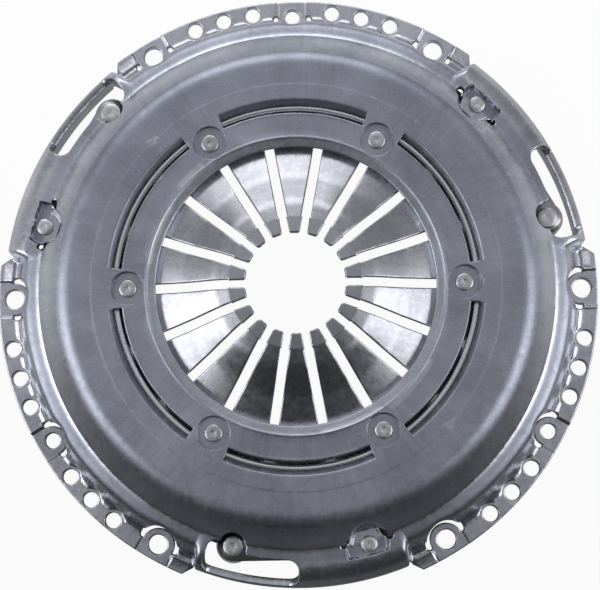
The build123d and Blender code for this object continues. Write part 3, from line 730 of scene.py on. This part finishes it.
# ---------------------------------------------------------------- leaf straps
# Nine leaves of rolled spring strip with round ends, three to a pack, riveted to a lug and to the cover.
# They bend as the plate moves.
leaf_half_width, leaf_thickness, leaf_rise, pack_level = 7.0, 0.7, 0.6, 14.3
# one leaf's cross section: share of the half width, and height
leaf_section = ((-1.0, 0.12), (-0.985, 0.0), (0.985, 0.0), (1.0, 0.12), (1.0, 0.58), (0.985, leaf_thickness),
                (-0.985, leaf_thickness), (-1.0, 0.58))
for number in range(3):
    ends = [np.array([strap_circle * math.cos(math.radians(angles[number])),
                      strap_circle * math.sin(math.radians(angles[number]))])
            for angles in (plate_rivet_angles, cover_rivet_angles)]
    length = np.linalg.norm(ends[1] - ends[0])
    ahead = (ends[1] - ends[0]) / length
    side = np.array([-ahead[1], ahead[0]])
    past_end = leaf_half_width * np.cos(np.radians(np.arange(5, 91, 8.5)))
    stations = np.concatenate([-past_end, np.linspace(0, length, 25)[1:-1], length + past_end[::-1]])
    over = np.maximum(-stations, stations - length).clip(0)
    half = np.sqrt(leaf_half_width ** 2 - over ** 2)
    for layer in range(3):
        node = f"strap_{number + 1}_leaf_{layer + 1}"
        level = pack_level + layer * leaf_thickness + leaf_rise * smooth((stations - 9) / (length - 18))
        rings = []
        for across, up in leaf_section:
            plan = ends[0] + stations[:, None] * ahead + (across * half)[:, None] * side
            rings.append(np.column_stack([plan, level + up]))
        count = len(stations)
        points = np.stack(rings, axis=1).reshape(-1, 3)
        n = len(leaf_section)
        faces = [(i * n + k, (i + 1) * n + k, (i + 1) * n + (k + 1) % n, i * n + (k + 1) % n)
                 for i in range(count - 1) for k in range(n)]
        faces += [tuple(range(n)), tuple(reversed(range((count - 1) * n, count * n)))]
        leaf = mesh_object(node + "_strip", points, faces)
        leaf.data.materials.append(steel(node, (0.34, 0.345, 0.37), (0.50, 0.505, 0.53), 0.30, 40, 0.2))
        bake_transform(leaf)
        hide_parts(node)

# ---------------------------------------------------------------- pressure plate
# A cast iron ring with three lugs for the straps and a ridge under the spring.
# Its friction face is ground, and its top is as cast or turned; the corners are broken.
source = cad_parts["pressure_plate"]
plate = bpy.data.objects.new("plate_casting", source.data.copy())
bpy.context.scene.collection.objects.link(plate)
rounding = plate.modifiers.new("rounding", "BEVEL")
rounding.width = 0.0007
rounding.segments = 3
rounding.limit_method = "ANGLE"
rounding.angle_limit = math.radians(35)
plate.data.materials.clear()
plate.data.materials.append(steel("plate_iron", (0.26, 0.26, 0.275), (0.44, 0.445, 0.46), 0.42, 34, 0.45))
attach(plate, "plate")
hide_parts("pressure_plate")

# ---------------------------------------------------------------- floor, light and camera
# White paper under the part, three soft lamps and a pale room that is darker on the near side.
# The paper is white where it is looked at; elsewhere its colour is painted shade, pale at the back and dark
# towards the near side, and the metal mirrors it so.
bpy.ops.mesh.primitive_plane_add(size=8, location=(0, 0, -0.0003))
floor = bpy.context.object
floor.name = "floor"
paper = bpy.data.materials.new("paper")
paper.use_nodes = True
tree = paper.node_tree
shader = tree.nodes["Principled BSDF"]
shader.inputs["Roughness"].default_value = 0.9
paper_place = tree.nodes.new("ShaderNodeSeparateXYZ")
tree.links.new(tree.nodes.new("ShaderNodeTexCoord").outputs["Object"], paper_place.inputs["Vector"])
# painted shade: the paper's colour darkens towards the near side, and the glossy glow follows it
painted_near_shade = stretch(tree, paper_place.outputs["Y"], -0.15, 0.06, 0.10, 0.80)
tree.links.new(painted_near_shade, shader.inputs["Base Color"])
glow = tree.nodes.new("ShaderNodeEmission")
glow.inputs["Color"].default_value = (1, 1, 1, 1)
way = tree.nodes.new("ShaderNodeLightPath")
seen = maths(tree, "MULTIPLY", way.outputs["Is Camera Ray"], 0.95)
mirrored = maths(tree, "MULTIPLY", maths(tree, "MULTIPLY", way.outputs["Is Glossy Ray"], 0.3), painted_near_shade)
mix = tree.nodes.new("ShaderNodeMixShader")
tree.links.new(maths(tree, "MAXIMUM", seen, mirrored), mix.inputs["Fac"])
tree.links.new(shader.outputs["BSDF"], mix.inputs[1])
tree.links.new(glow.outputs["Emission"], mix.inputs[2])
tree.links.new(mix.outputs["Shader"], tree.nodes["Material Output"].inputs["Surface"])
floor.data.materials.append(paper)

for name, place, size, power in (
    ("left_softbox", (-0.67, -0.14, 0.52), (0.50, 0.60), 3.0),
    ("right_softbox", (0.67, -0.14, 0.52), (0.50, 0.60), 2.6),
    ("back_softbox", (-0.10, 0.74, 0.50), (0.80, 0.45), 2.4),
):
    lamp = bpy.data.lights.new(name, "AREA")
    lamp.shape = "RECTANGLE"
    lamp.size, lamp.size_y = size
    lamp.energy = power
    holder = bpy.data.objects.new(name, lamp)
    holder.location = place
    holder.rotation_euler = (Vector((0, 0, 0.02)) - Vector(place)).to_track_quat("-Z", "Y").to_euler()
    bpy.context.scene.collection.objects.link(holder)

# the room: a pale ceiling and pale far sides, dark on the near side
world = bpy.data.worlds.new("studio")
world.use_nodes = True
tree = world.node_tree
background = tree.nodes["Background"]
direction = tree.nodes.new("ShaderNodeSeparateXYZ")
tree.links.new(tree.nodes.new("ShaderNodeTexCoord").outputs["Generated"], direction.inputs["Vector"])
ceiling = stretch(tree, direction.outputs["Z"], 0.80, 0.97, 0.36, 0.68, "SMOOTHSTEP")
sides = stretch(tree, maths(tree, "ABSOLUTE", direction.outputs["X"]), 0.75, 0.97, 0.0, 0.35, "SMOOTHSTEP")
near = stretch(tree, direction.outputs["Y"], -0.32, 0.35, 0.13, 1.0, "SMOOTHSTEP")
background.inputs["Color"].default_value = (0.97, 0.98, 1.0, 1)
strength = maths(tree, "MULTIPLY", maths(tree, "ADD", ceiling, sides), near)
tree.links.new(strength, background.inputs["Strength"])
bpy.context.scene.world = world
bpy.context.scene.view_settings.view_transform = "Standard"

# the camera stands almost on the axis, tilted towards the near side and rolled
distance, bearing, rise, roll = 0.8118, math.radians(8.81), math.radians(83.38), math.radians(-9.93)
image_width, image_height, focal_pixels, axis_column, axis_row = 600, 590, 1710.8, 297.55, 294.76
towards = Vector((math.cos(rise) * math.sin(bearing), -math.cos(rise) * math.cos(bearing), math.sin(rise)))
across = (-towards).cross(Vector((0, 0, 1))).normalized()
upward = across.cross(-towards)
right = across * math.cos(roll) + upward * math.sin(roll)
above = -across * math.sin(roll) + upward * math.cos(roll)
camera = bpy.data.objects.new("camera", bpy.data.cameras.new("camera"))
camera.matrix_world = Matrix((
    (right.x, above.x, towards.x, towards.x * distance),
    (right.y, above.y, towards.y, towards.y * distance),
    (right.z, above.z, towards.z, towards.z * distance),
    (0, 0, 0, 1),
))
camera.data.sensor_fit = "HORIZONTAL"
camera.data.sensor_width = 36.0
camera.data.lens = focal_pixels / image_width * camera.data.sensor_width
camera.data.shift_x = (image_width / 2 - axis_column) / image_width
camera.data.shift_y = (axis_row - image_height / 2) / image_width
bpy.context.scene.collection.objects.link(camera)
bpy.context.scene.camera = camera
